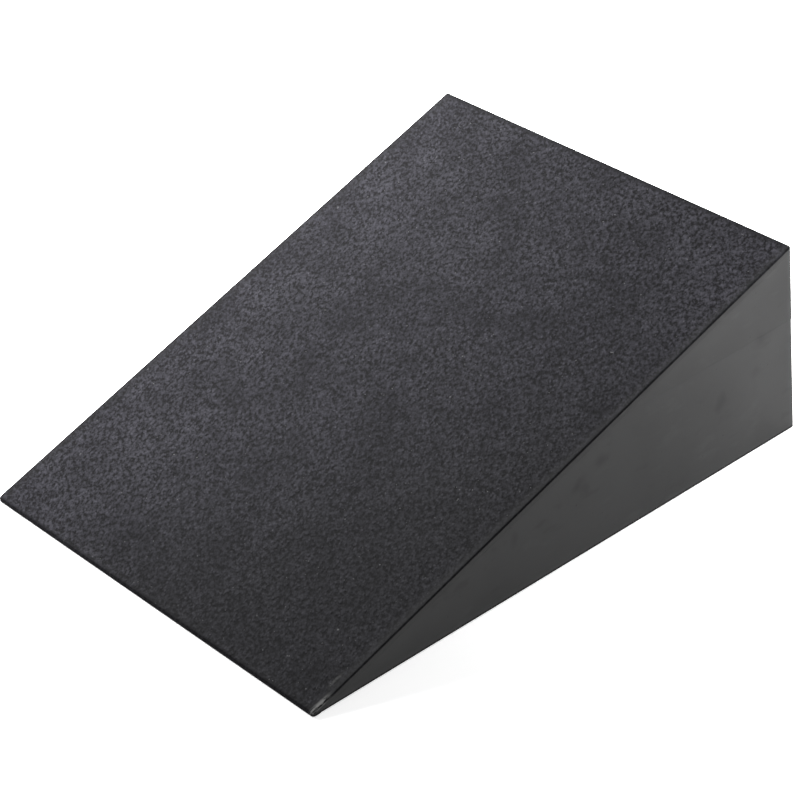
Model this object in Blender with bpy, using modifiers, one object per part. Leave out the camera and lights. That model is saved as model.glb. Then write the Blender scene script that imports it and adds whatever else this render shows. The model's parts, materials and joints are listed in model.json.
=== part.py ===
"""Slant board: a foam wedge that the forefoot or heel stands on to stretch the calf.

Two sheets of closed-cell EVA foam are glued one on the other, the stack is sawn
along the slope, and a thin grained grip sheet is glued to the sawn face.

Metres, +Z up. The origin is on the floor, at the middle of the footprint.
+Y runs from the thin toe edge to the tall heel end, and +X is across the board.
"""

import math

import bmesh
import bpy
from mathutils import Vector

# The whole board
WIDTH = 0.120
LENGTH = 0.150
HEIGHT = 0.050
TOE_HEIGHT = 0.001

# The sheets it is built up from
LOWER_SHEET = 0.030
GRIP_SHEET = 0.0015
GLUE_FILM = 0.0002
GLUE_GAP = 0.0002
GLUE_MARGIN = 0.003

# Small features
BACK_STEP = 0.0004
FOAM_TIP = 0.0005
CORNER_RADIUS = 0.0012
GRIP_RADIUS = 0.0007
ROUND_SEGMENTS = 4

# The foot stands on this plane, which runs from the toe's top edge to the heel's.
SLOPE = math.atan2(HEIGHT - TOE_HEIGHT, LENGTH)
RAMP_POINT = Vector((0, -LENGTH / 2, TOE_HEIGHT))
RAMP_NORMAL = Vector((0, -math.sin(SLOPE), math.cos(SLOPE)))

# Depths below the ramp, square to it, of the grip sheet's glue and of the foam
RAMP_GLUE_TOP = GRIP_SHEET + GLUE_GAP
RAMP_GLUE_BOTTOM = RAMP_GLUE_TOP + GLUE_FILM
FOAM_DEPTH = RAMP_GLUE_BOTTOM + GLUE_GAP

# Heights above the floor of the glue between the two foam sheets and of the upper sheet
LAYER_GLUE_BOTTOM = LOWER_SHEET + GLUE_GAP
LAYER_GLUE_TOP = LAYER_GLUE_BOTTOM + GLUE_FILM
UPPER_SHEET_BOTTOM = LAYER_GLUE_TOP + GLUE_GAP


def point_below_ramp(depth):
    """A point on the plane that lies this far under the ramp."""
    return RAMP_POINT - RAMP_NORMAL * depth


def y_where(height, depth):
    """How far along the board the plane at this depth under the ramp is this high."""
    below = point_below_ramp(depth)
    return below.y + (height - below.z) / math.tan(SLOPE)


def block(low, high):
    """A rectangular block of sheet between two corners."""
    mesh = bmesh.new()
    bmesh.ops.create_cube(mesh, size=1)
    size = [top - bottom for bottom, top in zip(low, high)]
    middle = [(bottom + top) / 2 for bottom, top in zip(low, high)]
    bmesh.ops.scale(mesh, vec=size, verts=mesh.verts)
    bmesh.ops.translate(mesh, vec=middle, verts=mesh.verts)
    return mesh


def saw(mesh, point, waste_side):
    """Cuts through the block along a plane, drops the waste and closes the cut face."""
    everything = [*mesh.verts, *mesh.edges, *mesh.faces]
    cut = bmesh.ops.bisect_plane(
        mesh, geom=everything, plane_co=point, plane_no=waste_side, clear_outer=True
    )
    rim = [item for item in cut["geom_cut"] if isinstance(item, bmesh.types.BMEdge)]
    bmesh.ops.contextual_create(mesh, geom=rim)


def mark_rounded(mesh, chosen):
    """Gives the chosen edges the weight that the Bevel modifier reads."""
    weight = mesh.edges.layers.float.new("bevel_weight_edge")
    for edge in mesh.edges:
        if chosen(*(corner.co for corner in edge.verts)):
            edge[weight] = 1


def is_upright(start, end):
    """Whether an edge is one of the board's standing corners."""
    return abs(start.x - end.x) < 1e-6 and abs(start.y - end.y) < 1e-6


def on_floor(start, end):
    """Whether an edge lies on the floor."""
    return start.z < 1e-6 and end.z < 1e-6


def on_ramp(start, end):
    """Whether an edge borders the face that the foot stands on."""
    heights = [(corner - RAMP_POINT).dot(RAMP_NORMAL) for corner in (start, end)]
    return all(abs(height) < 1e-6 for height in heights)


def add_piece(name, mesh, material, radius=0.0):
    """Makes the named piece from its shape, with its marked edges rounded."""
    bmesh.ops.recalc_face_normals(mesh, faces=mesh.faces)
    data = bpy.data.meshes.new(name)
    mesh.to_mesh(data)
    mesh.free()
    data.materials.append(material)
    piece = bpy.data.objects.new(name, data)
    board.objects.link(piece)
    if radius:
        rounding = piece.modifiers.new("rounded_edges", "BEVEL")
        rounding.limit_method = "WEIGHT"
        rounding.width = radius
        rounding.segments = ROUND_SEGMENTS
    return piece


def make_material(name, colour, roughness):
    material = bpy.data.materials.new(name)
    material.use_nodes = True
    shader = material.node_tree.nodes["Principled BSDF"]
    shader.inputs["Base Color"].default_value = (*colour, 1)
    shader.inputs["Roughness"].default_value = roughness
    shader.inputs["Metallic"].default_value = 0
    material.diffuse_color = (*colour, 1)
    return material


def make_lower_foam_layer():
    """The thick sheet on the floor, sawn to the slope and ended in a blunt tip."""
    foam = block(
        (-WIDTH / 2, -LENGTH / 2, 0),
        (WIDTH / 2, LENGTH / 2 - BACK_STEP, LOWER_SHEET),
    )
    saw(foam, point_below_ramp(FOAM_DEPTH), RAMP_NORMAL)
    saw(foam, (0, y_where(FOAM_TIP, FOAM_DEPTH), 0), (0, -1, 0))
    back = LENGTH / 2 - BACK_STEP
    mark_rounded(
        foam,
        lambda start, end: on_floor(start, end)
        or (is_upright(start, end) and abs(start.y - back) < 1e-6),
    )
    material = make_material("lower_foam", (0.075, 0.075, 0.076), 0.62)
    add_piece("lower_foam_layer", foam, material, CORNER_RADIUS)


def make_upper_foam_layer():
    """The thinner sheet on top of it, of which the saw leaves the heel end only."""
    foam = block(
        (-WIDTH / 2, -LENGTH / 2, UPPER_SHEET_BOTTOM),
        (WIDTH / 2, LENGTH / 2, HEIGHT),
    )
    saw(foam, point_below_ramp(FOAM_DEPTH), RAMP_NORMAL)
    tip = y_where(UPPER_SHEET_BOTTOM + FOAM_TIP, FOAM_DEPTH)
    saw(foam, (0, tip, 0), (0, -1, 0))
    mark_rounded(
        foam,
        lambda start, end: is_upright(start, end) and abs(start.y - LENGTH / 2) < 1e-6,
    )
    material = make_material("upper_foam", (0.082, 0.082, 0.083), 0.62)
    add_piece("upper_foam_layer", foam, material, CORNER_RADIUS)


def make_layer_glue_film(material):
    """The cured contact cement between the two foam sheets, short of their edges."""
    film = block(
        (-WIDTH / 2 + GLUE_MARGIN, -LENGTH / 2, LAYER_GLUE_BOTTOM),
        (WIDTH / 2 - GLUE_MARGIN, LENGTH / 2 - GLUE_MARGIN, LAYER_GLUE_TOP),
    )
    front = y_where(UPPER_SHEET_BOTTOM, FOAM_DEPTH) + GLUE_MARGIN
    saw(film, (0, front, 0), (0, -1, 0))
    add_piece("layer_glue_film", film, material)


def make_ramp_glue_film(material):
    """The cement under the grip sheet, along the whole sawn face."""
    film = block(
        (-WIDTH / 2 + GLUE_MARGIN, -LENGTH / 2, 0),
        (WIDTH / 2 - GLUE_MARGIN, LENGTH / 2 - GLUE_MARGIN, HEIGHT),
    )
    saw(film, point_below_ramp(RAMP_GLUE_TOP), RAMP_NORMAL)
    saw(film, point_below_ramp(RAMP_GLUE_BOTTOM), -RAMP_NORMAL)
    front = y_where(0, FOAM_DEPTH) + GLUE_MARGIN
    saw(film, (0, front, 0), (0, -1, 0))
    add_piece("ramp_glue_film", film, material)


def make_ramp_grip_sheet():
    """The thin grained sheet that the foot stands on, feathered out at the toe."""
    sheet = block((-WIDTH / 2, -LENGTH / 2, 0), (WIDTH / 2, LENGTH / 2, HEIGHT))
    saw(sheet, RAMP_POINT, RAMP_NORMAL)
    saw(sheet, point_below_ramp(GRIP_SHEET), -RAMP_NORMAL)
    mark_rounded(sheet, on_ramp)
    material = make_material("grip_sheet", (0.055, 0.054, 0.062), 0.9)
    add_piece("ramp_grip_sheet", sheet, material, GRIP_RADIUS)


for leftover in list(bpy.data.objects):
    bpy.data.objects.remove(leftover, do_unlink=True)
board = bpy.data.collections.new("slant_board")
bpy.context.scene.collection.children.link(board)

cement = make_material("contact_cement", (0.32, 0.24, 0.13), 0.35)
make_lower_foam_layer()
make_upper_foam_layer()
make_layer_glue_film(cement)
make_ramp_glue_film(cement)
make_ramp_grip_sheet()
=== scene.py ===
import json
import math

import bmesh
import bpy
from mathutils import Matrix, Vector


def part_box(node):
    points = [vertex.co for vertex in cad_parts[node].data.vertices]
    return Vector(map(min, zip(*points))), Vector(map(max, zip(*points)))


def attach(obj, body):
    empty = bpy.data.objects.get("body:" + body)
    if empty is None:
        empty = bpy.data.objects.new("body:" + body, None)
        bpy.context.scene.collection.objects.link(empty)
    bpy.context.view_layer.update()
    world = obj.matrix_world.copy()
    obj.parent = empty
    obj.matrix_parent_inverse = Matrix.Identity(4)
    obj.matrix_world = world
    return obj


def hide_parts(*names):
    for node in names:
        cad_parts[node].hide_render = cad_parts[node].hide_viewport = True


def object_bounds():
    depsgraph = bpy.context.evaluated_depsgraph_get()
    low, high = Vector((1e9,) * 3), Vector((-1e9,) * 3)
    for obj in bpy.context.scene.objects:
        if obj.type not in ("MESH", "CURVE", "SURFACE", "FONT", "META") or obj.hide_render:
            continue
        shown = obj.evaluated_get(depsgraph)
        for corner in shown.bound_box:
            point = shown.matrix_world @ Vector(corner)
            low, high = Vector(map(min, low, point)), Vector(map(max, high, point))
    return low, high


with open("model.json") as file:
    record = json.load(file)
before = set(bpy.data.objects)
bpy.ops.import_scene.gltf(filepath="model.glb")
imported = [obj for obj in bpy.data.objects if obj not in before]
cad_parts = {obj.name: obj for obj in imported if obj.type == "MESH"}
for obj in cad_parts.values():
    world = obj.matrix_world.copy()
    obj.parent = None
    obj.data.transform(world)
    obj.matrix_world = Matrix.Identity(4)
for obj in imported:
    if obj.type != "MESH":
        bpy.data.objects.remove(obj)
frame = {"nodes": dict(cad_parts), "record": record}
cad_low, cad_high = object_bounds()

# ---------------------------------------------------------------------------
# Lower foam layer
#
# A sheet of closed-cell EVA foam, 30 mm thick, which stands on the floor. The glued
# stack is sawn to the slope on a band saw, which leaves flat, smooth, satin sides.
# ---------------------------------------------------------------------------

foot_face = next(mount for mount in frame["record"]["mounts"] if mount["name"] == "foot_face")
ramp_point = Vector(foot_face["pos_m"])
ramp_normal = Vector(foot_face["axis"]).normalized()
up_the_ramp = Vector((0, ramp_normal.z, -ramp_normal.y))

GRIP_THICKNESS = 0.0015
SEAM_TO_GRIP_SHEET = 0.00003
SEAM_BETWEEN_LAYERS = 0.00002
RAMP_HOLLOW = 0.0004
HOLLOW_MARGIN = 0.0005
HOLLOW_HEADROOM = 0.00007
HOLLOW_BACK_MARGIN = 0.0001
WELL_CLEAR = 0.01
SAME_PLACE = 0.00001

FOAM_TIP = 0.00015
FLOOR_EDGE_RADIUS = 0.00025
CORNER_RADIUS = 0.0006
FOAM_CUTS = 0.002
FIRM_EDGE = 0.0005
FOAM_GIVES_WITHIN = 0.004
FOAM_CREASE = math.radians(35)

lower_low, lower_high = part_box("lower_foam_layer")
upper_low, upper_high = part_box("upper_foam_layer")
ramp_film_low, ramp_film_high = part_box("ramp_glue_film")
layer_film_low, layer_film_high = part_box("layer_glue_film")
grip_low, grip_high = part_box("ramp_grip_sheet")

foam_depth = GRIP_THICKNESS + SEAM_TO_GRIP_SHEET
layer_seam = (layer_film_low.z + layer_film_high.z) / 2
lower_top = layer_seam - SEAM_BETWEEN_LAYERS / 2
upper_bottom = layer_seam + SEAM_BETWEEN_LAYERS / 2


def below_ramp(depth):
    """A point on the plane that lies this far under the ramp, square to it."""
    return ramp_point - ramp_normal * depth


def reach(height, depth):
    """How far along the board the plane at this depth under the ramp is this high."""
    below = below_ramp(depth)
    return below.y + (height - below.z) * ramp_normal.z / -ramp_normal.y


def height_over_ramp(corner):
    """How far a point stands above the ramp, square to it."""
    return (corner - ramp_point).dot(ramp_normal)


def start_block(name, low, high):
    """A plain block between two corners, left open in edit mode for shaping."""
    bpy.ops.object.select_all(action="DESELECT")
    middle = (Vector(low) + Vector(high)) / 2
    size = Vector(high) - Vector(low)
    bpy.ops.mesh.primitive_cube_add(size=1, location=middle, scale=size)
    bpy.ops.object.transform_apply(location=True, rotation=True, scale=True)
    piece = bpy.context.active_object
    piece.name = name
    piece.data.name = name
    bpy.ops.object.mode_set(mode="EDIT")
    return piece


def saw(point, waste_side):
    """Saws along a plane, drops the waste and closes the cut face."""
    bpy.ops.mesh.select_all(action="SELECT")
    bpy.ops.mesh.bisect(plane_co=point, plane_no=waste_side, use_fill=True, clear_outer=True)
    bpy.ops.mesh.select_all(action="SELECT")
    bpy.ops.mesh.normals_make_consistent(inside=False)


def score(direction, first, last, spacing):
    """Divides the surface by evenly spaced parallel cuts, so that it can be shaped finely."""
    strips = round((last - first) / spacing)
    for cut in range(1, strips):
        place = first + (last - first) * cut / strips
        bpy.ops.mesh.select_all(action="SELECT")
        bpy.ops.mesh.bisect(plane_co=direction * place, plane_no=direction)


def pick(kind, chosen):
    """Selects the edges or faces that pass the test, and nothing else."""
    bpy.ops.mesh.select_mode(type=kind)
    bpy.ops.mesh.select_all(action="DESELECT")
    data = bpy.context.edit_object.data
    mesh = bmesh.from_edit_mesh(data)
    for item in mesh.faces if kind == "FACE" else mesh.edges:
        if chosen(item):
            item.select_set(True)
    bmesh.update_edit_mesh(data)


def ends(edge):
    """The places of an edge's two ends."""
    return [corner.co for corner in edge.verts]


def on_floor(edge):
    return all(end.z < SAME_PLACE for end in ends(edge))


def upright_at(edge, y):
    """Whether an edge stands upright this far along the board."""
    start, end = ends(edge)
    upright = abs(start.x - end.x) < SAME_PLACE and abs(start.y - end.y) < SAME_PLACE
    return upright and abs(start.y - y) < SAME_PLACE


def round_off(radius):
    """Rounds the selected edges."""
    bpy.ops.mesh.bevel(offset=radius, segments=4, affect="EDGES")


def hollow(piece, low, high, top_depth=None, bottom_depth=None):
    """Clears the shallow hollow that a film of glue lies in, as a block or as a sloped slab."""
    cutter = start_block("cutter", low, high)
    if bottom_depth is not None:
        saw(below_ramp(top_depth), ramp_normal)
        saw(below_ramp(bottom_depth), -ramp_normal)
    bpy.ops.object.mode_set(mode="OBJECT")
    bpy.ops.object.select_all(action="DESELECT")
    bpy.context.view_layer.objects.active = piece
    piece.select_set(True)
    cut = piece.modifiers.new("hollow", "BOOLEAN")
    cut.operation = "DIFFERENCE"
    cut.object = cutter
    bpy.ops.object.modifier_apply(modifier=cut.name)
    bpy.data.objects.remove(cutter, do_unlink=True)


def clear_glue_hollows(piece):
    """Makes room in a foam layer for the cement on the ramp and between the layers."""
    margin = HOLLOW_MARGIN
    hollow(
        piece,
        (ramp_film_low.x - margin, ramp_film_low.y - margin, -WELL_CLEAR),
        (ramp_film_high.x + margin, ramp_film_high.y + margin, grip_high.z + WELL_CLEAR),
        GRIP_THICKNESS / 2,
        foam_depth + RAMP_HOLLOW,
    )
    hollow(
        piece,
        layer_film_low - Vector((margin, margin, HOLLOW_HEADROOM)),
        layer_film_high + Vector((margin, HOLLOW_BACK_MARGIN, HOLLOW_HEADROOM)),
    )


def unevenness(piece, name, size, depth):
    """Sinks the surface slightly, more in some places than in others, by its vertex group."""
    pattern = bpy.data.textures.new(name, "CLOUDS")
    pattern.noise_scale = size
    pattern.noise_depth = 1
    sink = piece.modifiers.new(name, "DISPLACE")
    sink.texture = pattern
    sink.texture_coords = "LOCAL"
    sink.vertex_group = "uneven"
    sink.strength = depth
    sink.mid_level = 1
    bpy.ops.object.modifier_apply(modifier=sink.name)
    bpy.data.textures.remove(pattern)


def let_vary(piece, how_far):
    """Says how freely each point of the surface may sink: 0 where it has to stay put."""
    uneven = piece.vertex_groups.new(name="uneven")
    for point in piece.data.vertices:
        uneven.add([point.index], min(1, max(0, how_far(point.co))), "REPLACE")


def foam_freedom(corner):
    """Foam sinks away from its glued faces and its outer edges, over a few millimetres."""
    under_grip = -height_over_ramp(corner) - foam_depth
    from_seam = abs(corner.z - layer_seam)
    from_upright = max(grip_high.x - abs(corner.x), grip_high.y - corner.y)
    nearest = min(under_grip, from_seam, from_upright, corner.z)
    return (nearest - FIRM_EDGE) / FOAM_GIVES_WITHIN


def finish_foam(piece, low, high):
    """Gives a sawn foam layer the slight waviness of soft, hand-fed foam."""
    bpy.ops.object.mode_set(mode="EDIT")
    for axis, first, last in zip(Matrix.Identity(3), low, high):
        score(axis, first, last, FOAM_CUTS)
    bpy.ops.object.mode_set(mode="OBJECT")
    let_vary(piece, foam_freedom)
    unevenness(piece, "broad_waves", 0.03, 0.00018)
    unevenness(piece, "small_dents", 0.006, 0.00006)
    bpy.ops.object.shade_smooth_by_angle(angle=FOAM_CREASE)


lower_foam = start_block(
    "lower_foam",
    (lower_low.x, grip_low.y - FLOOR_EDGE_RADIUS * 2, lower_low.z),
    (lower_high.x, lower_high.y, lower_top),
)
pick("EDGE", lambda edge: on_floor(edge) or upright_at(edge, lower_high.y))
round_off(FLOOR_EDGE_RADIUS)
saw(below_ramp(foam_depth), ramp_normal)
saw((0, reach(FOAM_TIP, foam_depth), 0), (0, -1, 0))
bpy.ops.object.mode_set(mode="OBJECT")
clear_glue_hollows(lower_foam)
finish_foam(lower_foam, lower_low, lower_high)


class Signal:
    """A value, colour or place that changes over a surface: one output of a node."""

    def __init__(self, tree, socket=None):
        self.tree = tree
        self.socket = socket

    def node(self, kind, settings, inputs, output=0):
        """Adds a node: its settings first, then the values or links of its sockets."""
        made = self.tree.nodes.new("ShaderNode" + kind)
        for name, value in settings.items():
            setattr(made, name, value)
        for name, value in inputs.items():
            if isinstance(value, Signal):
                self.tree.links.new(value.socket, made.inputs[name])
            else:
                made.inputs[name].default_value = value
        return Signal(self.tree, made.outputs[output])

    def maths(self, operation, *terms):
        return self.node("Math", {"operation": operation}, dict(enumerate(terms)))

    def __add__(self, other):
        return self.maths("ADD", self, other)

    def __sub__(self, other):
        return self.maths("SUBTRACT", self, other)

    def __rsub__(self, other):
        return self.maths("SUBTRACT", other, self)

    def __mul__(self, other):
        return self.maths("MULTIPLY", self, other)

    __radd__ = __add__
    __rmul__ = __mul__

    def least(self, other):
        return self.maths("MINIMUM", self, other)

    def greatest(self, other):
        return self.maths("MAXIMUM", self, other)

    def between(self, low, high):
        """0 below the first value, 1 above the second, and smooth between them."""
        settings = {"interpolation_type": "SMOOTHSTEP"}
        return self.node("MapRange", settings, {"Value": self, "From Min": low, "From Max": high})

    def blend(self, first, second):
        """The first colour where this value is 0, and the second where it is 1."""
        return self.node("Mix", {"data_type": "RGBA"}, {0: self, 6: first, 7: second}, 2)

    def grain(self, scale, detail=2.0, roughness=0.5):
        """Even noise over this place, with this many spots to a metre."""
        inputs = {"Vector": self, "Scale": scale, "Detail": detail, "Roughness": roughness}
        return self.node("TexNoise", {}, inputs)

    def stretched(self, way, longer):
        """This place, turned and squeezed, so that a pattern on it comes out longer one way."""
        inputs = {"Vector": self, "Rotation": (0, 0, way), "Scale": (1, longer, 1)}
        return self.node("Mapping", {"vector_type": "TEXTURE"}, inputs)

    def part(self, axis):
        """One coordinate of this place."""
        return self.node("SeparateXYZ", {}, {"Vector": self}, "XYZ".index(axis))

    def raised(self, strength, depth):
        """The surface's direction where this value is the height of its fine relief."""
        return self.node("Bump", {}, {"Height": self, "Strength": strength, "Distance": depth})


def new_finish(name, roughness, specular):
    """An empty material: its place signal and its main shader."""
    material = bpy.data.materials.new(name)
    material.use_nodes = True
    tree = material.node_tree
    shader = tree.nodes["Principled BSDF"]
    shader.inputs["Roughness"].default_value = roughness
    shader.inputs["Specular IOR Level"].default_value = specular
    place = Signal(tree).node("TexCoord", {}, {}, "Object")
    return material, place, shader


def wire(shader, **links):
    """Feeds the shader's sockets, whose names have a space for each underscore."""
    for name, value in links.items():
        shader.id_data.links.new(value.socket, shader.inputs[name.replace("_", " ")])


FOAM_DARK = (0.0125, 0.0125, 0.0127, 1)
FOAM_LIGHT = (0.0215, 0.0215, 0.0217, 1)
FOAM_RUBBED = (0.0070, 0.0070, 0.0070, 1)
FOAM_CHALKY = (0.0360, 0.0360, 0.0362, 1)
CUT_CELL = (0.004, 0.004, 0.004, 1)
# Painted contact shadow: its colour, and the heights over which it fades out.
CONTACT_SHADOW_GREY = (0.0100, 0.0100, 0.0100, 1)
CONTACT_SHADOW_HEIGHTS = (0.0003, 0.0009)
SMEARS_LONGER = 1 / 0.45


def make_foam_finish(name, dark, light):
    """Closed-cell foam sawn smooth: a satin skin with cloudy patches and a few open cells, and a
    painted contact shadow along its lowest edge.
    """
    material, place, shader = new_finish(name, 0.5, 0.2)
    clouds = place.grain(28, 3, 0.55).between(0.35, 0.65)
    rubbed_and_shaded = place.grain(75, 2, 0.6).between(0.60, 0.74)
    smears = place.stretched(0, SMEARS_LONGER).grain(230, 2, 0.6)
    dark_smears = smears.between(0.60, 0.74)
    pale_smears = (1 - smears).between(0.58, 0.74)
    cells = place.grain(900, 1).between(0.74, 0.80)
    fine = place.grain(2600, 2)
    colour = clouds.blend(dark, light)
    colour = (rubbed_and_shaded * 0.4).blend(colour, FOAM_RUBBED)
    colour = (dark_smears * 0.38).blend(colour, FOAM_RUBBED)
    colour = (pale_smears * 0.2).blend(colour, FOAM_CHALKY)
    colour = (cells * 0.6).blend(colour, CUT_CELL)
    wire(
        shader,
        Base_Color=colour,
        Roughness=0.46 + clouds * 0.1 + rubbed_and_shaded * 0.1,
        Normal=(fine * 0.4 - cells).raised(0.12, 0.0002),
    )
    # Painted contact shadow along the foam's lowest edge.
    paint_contact_shadow(place, shader)
    return material


def paint_contact_shadow(place, shader):
    """Paints a dull dark line of contact shadow over the foam's lowest edge, where the glowing
    paper floor casts none.
    """
    shadowed = place.node(
        "BsdfPrincipled",
        {},
        {"Base Color": CONTACT_SHADOW_GREY, "Roughness": 1, "Specular IOR Level": 0},
    )
    unshadowed = Signal(place.tree, shader.outputs[0])
    # Painted shade: darkest at the floor, fading out between 0.3 and 0.9 mm up.
    shadow_share = (1 - place.part("Z").between(*CONTACT_SHADOW_HEIGHTS)) * 0.9
    skin = place.node("MixShader", {}, {0: shadow_share, 1: unshadowed, 2: shadowed})
    surface = place.tree.nodes["Material Output"].inputs["Surface"]
    place.tree.links.new(skin.socket, surface)


lower_foam.data.materials.append(make_foam_finish("lower_foam_finish", FOAM_DARK, FOAM_LIGHT))
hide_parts("lower_foam_layer")
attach(lower_foam, "root")

# ---------------------------------------------------------------------------
# Upper foam layer
#
# A second sheet of the same foam, 20 mm thick, cemented on top of the first. The saw
# leaves only its heel end, which stands a hair proud of the lower layer at the back.
# ---------------------------------------------------------------------------

UPPER_TIP = 0.0001

upper_foam = start_block(
    "upper_foam",
    (upper_low.x, grip_low.y, upper_bottom),
    (upper_high.x, upper_high.y, grip_high.z),
)
pick("EDGE", lambda edge: upright_at(edge, upper_high.y))
round_off(CORNER_RADIUS)
saw(below_ramp(foam_depth), ramp_normal)
saw((0, reach(upper_bottom + UPPER_TIP, foam_depth), 0), (0, -1, 0))
bpy.ops.object.mode_set(mode="OBJECT")
clear_glue_hollows(upper_foam)
finish_foam(upper_foam, upper_low, upper_high)

UPPER_DARK = (0.0130, 0.0130, 0.0132, 1)
UPPER_LIGHT = (0.0225, 0.0225, 0.0227, 1)
upper_foam.data.materials.append(make_foam_finish("upper_foam_finish", UPPER_DARK, UPPER_LIGHT))
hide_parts("upper_foam_layer")
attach(upper_foam, "root")

# ---------------------------------------------------------------------------
# Glue films
#
# Contact cement, brushed on both faces and pressed together when touch-dry. It sets
# as an amber, slightly stringy film that stops short of the block's edges.
# ---------------------------------------------------------------------------

CEMENT_THIN = (0.42, 0.30, 0.15, 1)
CEMENT_THICK = (0.20, 0.12, 0.05, 1)
STRINGS_LONGER = 1 / 0.12

cement, place, shader = new_finish("contact_cement_finish", 0.35, 0.5)
strings = place.stretched(0, STRINGS_LONGER).grain(420, 3).between(0.4, 0.65)
wire(
    shader,
    Base_Color=strings.blend(CEMENT_THIN, CEMENT_THICK),
    Roughness=0.3 + strings * 0.25,
    Normal=strings.raised(0.5, 0.0001),
)
for film in ("layer_glue_film", "ramp_glue_film"):
    for slot in frame["nodes"][film].material_slots:
        slot.material = cement

# ---------------------------------------------------------------------------
# Grip sheet
#
# A 1.5 mm sheet of non-slip foam rubber with a fine pebbled grain. It is cemented over
# the whole ramp, and its foot is skived off flat where it comes down to the floor.
# ---------------------------------------------------------------------------

GRIP_EDGE_RADIUS = 0.0004
TOE_CORNER_RADIUS = 0.0007
CELLS_ACROSS = (15, 13)
CELLS_ALONG = (17, 15)
WHOLE_WAY = (0.1, 0.005)
ALONG = 0.999
GRAIN_MARGIN = 0.0022
GRIP_CREASE = math.radians(50)

sheet_stack = (grip_high.x, grip_high.y, cad_high.z + WELL_CLEAR)
grip_sheet = start_block("grip_sheet", grip_low, sheet_stack)
saw(ramp_point, ramp_normal)
saw(below_ramp(GRIP_THICKNESS), -ramp_normal)


def on_ramp(edge):
    """Whether an edge lies in the plane that the foot stands on."""
    return all(abs(height_over_ramp(end)) < SAME_PLACE for end in ends(edge))


def runs(edge, direction, at_least):
    """Whether an edge runs this way for at least this length."""
    start, end = ends(edge)
    way = end - start
    return way.length > at_least and abs(way.normalized().dot(direction)) > ALONG


pick("EDGE", lambda edge: upright_at(edge, grip_low.y))
round_off(TOE_CORNER_RADIUS)
pick("EDGE", lambda edge: upright_at(edge, grip_high.y))
round_off(CORNER_RADIUS)
pick("EDGE", on_ramp)
round_off(GRIP_EDGE_RADIUS)
# A cut across, just behind the rounded toe corners, leaves a plain rectangle to divide.
skive = Vector((0, reach(0, GRIP_THICKNESS) + TOE_CORNER_RADIUS, 0))
bpy.ops.mesh.select_all(action="SELECT")
bpy.ops.mesh.bisect(plane_co=skive, plane_no=up_the_ramp)
pick("FACE", lambda face: face.normal.dot(ramp_normal) < -ALONG)
bpy.ops.mesh.delete(type="FACE")
across = Vector((1, 0, 0))
for direction, all_cuts in ((across, CELLS_ACROSS), (up_the_ramp, CELLS_ALONG)):
    for cuts, at_least in zip(all_cuts, WHOLE_WAY):
        pick("EDGE", lambda edge: runs(edge, direction, at_least))
        bpy.ops.mesh.subdivide(number_cuts=cuts)
pick("EDGE", lambda edge: edge.is_boundary)
bpy.ops.mesh.edge_face_add()
bpy.ops.mesh.select_all(action="SELECT")
bpy.ops.mesh.normals_make_consistent(inside=False)
bpy.ops.object.mode_set(mode="OBJECT")


def is_cut_edge(face):
    """Whether a face is part of the sheet's sawn sides or heel end, flush with the foam."""
    beneath = height_over_ramp(face.calc_center_median()) < -GRIP_EDGE_RADIUS
    return beneath and (abs(face.normal.x) > 0.5 or face.normal.y > 0.5)


def grain_freedom(corner):
    """The grain is pressed into the top only, and fades out towards the sheet's edges."""
    inside = min(grip_high.x - abs(corner.x), grip_high.y - abs(corner.y))
    return 0 if height_over_ramp(corner) < -SAME_PLACE else inside / GRAIN_MARGIN


let_vary(grip_sheet, grain_freedom)
for name, size, depth in (
    ("pebbles", 0.0009, 0.00006),
    ("coarse_grain", 0.0030, 0.00004),
    ("press_waves", 0.022, 0.00025),
):
    unevenness(grip_sheet, name, size, depth)
bpy.ops.object.shade_smooth_by_angle(angle=GRIP_CREASE)

PRESSED_WAY = math.radians(47)
PRESSED_LONGER = 1.35
GRAINS_PER_METRE = 1150
STREAKS_LONGER = 5
GRIP_DARK = (0.0014, 0.0013, 0.0019, 1)
GRIP_LIGHT = (0.0370, 0.0360, 0.0440, 1)
GRIP_RUBBED_AND_SHADED = (0.0135, 0.0137, 0.0138, 1)
GRIP_EDGE = (0.0165, 0.0168, 0.0170, 1)
SPECK = (0.085, 0.085, 0.087, 1)
SCUFF = (0.11, 0.11, 0.108, 1)
FAINT_SCUFF_IN = 0.0026

grip_finish, place, shader = new_finish("grip_sheet_finish", 0.9, 0.05)
from_right = grip_high.x - place.part("X")
from_left = place.part("X") - grip_low.x
from_heel = grip_high.y - place.part("Y")
from_toe = place.part("Y") - grip_low.y
inside = from_right.least(from_left)

pressed = place.stretched(PRESSED_WAY, PRESSED_LONGER)
pits = pressed.grain(GRAINS_PER_METRE, 2, 0.5)
from_bead = pressed.node("TexVoronoi", {}, {"Vector": pressed, "Scale": GRAINS_PER_METRE})
beads = 1 - from_bead.between(0.05, 0.55)
fluff = pressed.grain(GRAINS_PER_METRE * 2, 2, 0.6)
tone = pits.between(0.24, 0.78) * 0.8 + beads * 0.3 + (fluff - 0.5) * 0.7 - 0.08
tone = tone.greatest(0.0)
patches = pressed.grain(45, 3, 0.6).between(0.3, 0.7)
cloudy = pressed.grain(120, 2, 0.5).between(0.3, 0.7)
worn = 0.58 + cloudy * 0.32 + patches * 0.42
colour = (tone * worn).blend(GRIP_DARK, GRIP_LIGHT)

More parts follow.
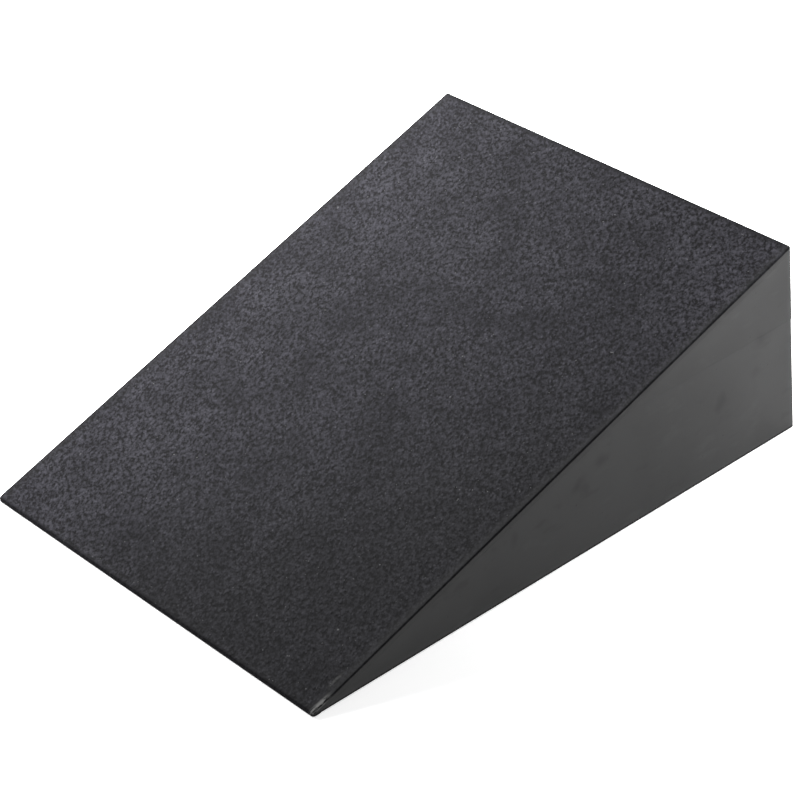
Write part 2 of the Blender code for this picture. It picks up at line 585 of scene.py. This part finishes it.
# Partly painted shade: the grain turns darker and flatter towards the right-hand toe corner;
# random patches of rubbed grain add to it.
rubbed_and_shaded = (from_left - from_toe * 0.8).between(0.0, 0.08) * 0.5 + patches * 0.2
colour = rubbed_and_shaded.blend(colour, (tone * 1.1).blend(GRIP_DARK, GRIP_RUBBED_AND_SHADED))
grained_area = inside.between(-0.002, 0.0040) * from_heel.between(-0.002, 0.0020)
colour = ((1 - grained_area) * 0.65).blend(colour, GRIP_EDGE)
specks = place.grain(1400, 1).between(0.75, 0.80)
colour = (specks * grained_area * 0.8).blend(colour, SPECK)

streaks = place.stretched(0, STREAKS_LONGER).grain(1500, 2)
near_corner = (1 - from_right.between(0.0008, 0.0018)) * (1 - from_toe.between(0.003, 0.0065))
scuffs = near_corner * streaks.between(0.34, 0.5)
off_line = from_right - FAINT_SCUFF_IN
on_line = 1 - off_line.greatest(0 - off_line).between(0.0001, 0.0006)
faint = on_line * from_toe.between(0.006, 0.008) * (1 - from_toe.between(0.009, 0.012))
colour = (scuffs * 0.8).blend(colour, SCUFF)
colour = (faint * 0.2).blend(colour, SCUFF)
# Painted shade: a thin dark line along the sheet's sides, heel and toe, where its rounded edges
# turn away from the light; along the sides it is weaker near the toe.
side_shade = 1 - (inside + cloudy * 0.0003).between(0.0001, 0.0012)
side_shade = side_shade * (0.35 + from_toe.between(0.01, 0.07) * 0.65)
end_shade = 1 - (from_heel * 0.6).least(from_toe).between(0.0002, 0.0011)
rolled_edge_shade = side_shade.greatest(end_shade) * (1 - scuffs)
colour = (rolled_edge_shade * 0.65).blend(colour, GRIP_DARK)

relief = (pits * 0.6 + beads * 0.4) * grained_area
wire(
    shader,
    Base_Color=colour,
    Roughness=0.82 + tone * 0.12,
    Normal=relief.raised(0.5, 0.0003),
)
grip_sheet.data.materials.append(grip_finish)
grip_sheet.data.materials.append(lower_foam.data.materials[0])
bpy.ops.object.mode_set(mode="EDIT")
pick("FACE", is_cut_edge)
grip_sheet.active_material_index = 1
bpy.ops.object.material_slot_assign()
bpy.ops.object.mode_set(mode="OBJECT")
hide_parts("ramp_grip_sheet")
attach(grip_sheet, "root")

# ---------------------------------------------------------------------------
# Studio
#
# A wide white sweep of paper, daylight from all round, a soft box close by on the left
# and a weaker one behind the heel on the right.
# ---------------------------------------------------------------------------

WALLS = 0.95
CEILING = 0.15
PAPER_GLOW = 0.62
PAPER_SIZE = 8
PAPER_GAP = 0.0002
PAPER_WHITE = (0.90, 0.90, 0.90, 1)
PAPER_GREY = (0.88, 0.88, 0.88, 1)
WHITE = (1, 1, 1, 1)

bpy.ops.object.select_all(action="DESELECT")
bpy.ops.mesh.primitive_plane_add(size=PAPER_SIZE, location=(0, 0, -PAPER_GAP))
paper = bpy.context.active_object
paper.name = "paper_floor"
paper_finish, place, shader = new_finish("paper_finish", 0.95, 0.1)
paper_fibre = place.grain(60, 2).between(0.3, 0.7)
wire(shader, Base_Color=paper_fibre.blend(PAPER_GREY, PAPER_WHITE))
shader.inputs["Emission Color"].default_value = WHITE
shader.inputs["Emission Strength"].default_value = PAPER_GLOW
paper.data.materials.append(paper_finish)

daylight = bpy.data.worlds.new("daylight")
bpy.context.scene.world = daylight
daylight.use_nodes = True
sky = daylight.node_tree
overhead = Signal(sky).node("TexCoord", {}, {}, "Generated").part("Z").between(0.03, 0.4)
strength = WALLS - overhead * (WALLS - CEILING)
sky.nodes["Background"].inputs["Color"].default_value = WHITE
sky.links.new(strength.socket, sky.nodes["Background"].inputs["Strength"])


def add_soft_box(name, place, aim, width, length, power):
    """A soft box that points at a place on the board, its length level along the board."""
    light = bpy.data.lights.new(name, "AREA")
    light.shape = "RECTANGLE"
    light.size = width
    light.size_y = length
    light.energy = power
    box = bpy.data.objects.new(name, light)
    bpy.context.collection.objects.link(box)
    behind = (Vector(place) - Vector(aim)).normalized()
    sideways = Vector((0, 1, 0)).cross(behind).normalized()
    turned = Matrix((sideways, behind.cross(sideways), behind)).transposed()
    box.matrix_world = Matrix.Translation(place) @ turned.to_4x4()


add_soft_box("left_box", (-0.24, 0.03, 0.18), (-0.04, 0.01, 0.02), 0.10, 0.30, 4.7)
add_soft_box("heel_box", (0.105, 0.115, 0.085), (0.06, 0.065, 0.04), 0.05, 0.05, 0.20)

TURN = math.radians(52.5)
RISE = math.radians(32.9)
ROLL = math.radians(-6)
DISTANCE = 0.713
LENS = 133.5
FILM = 36
AIM = Vector((-0.0049, 0.0070, 0.0126))

away = Vector((math.sin(TURN) * math.cos(RISE), -math.cos(TURN) * math.cos(RISE), math.sin(RISE)))
camera = bpy.data.cameras.new("camera")
camera.lens = LENS
camera.sensor_width = FILM
camera.clip_start = 0.01
eye = bpy.data.objects.new("camera", camera)
bpy.context.collection.objects.link(eye)
level = away.to_track_quat("Z", "Y").to_matrix()
eye.matrix_world = Matrix.Translation(AIM + away * DISTANCE) @ (
    level @ Matrix.Rotation(ROLL, 3, "Z")
).to_4x4()
bpy.context.scene.camera = eye
bpy.context.scene.view_settings.view_transform = "Standard"
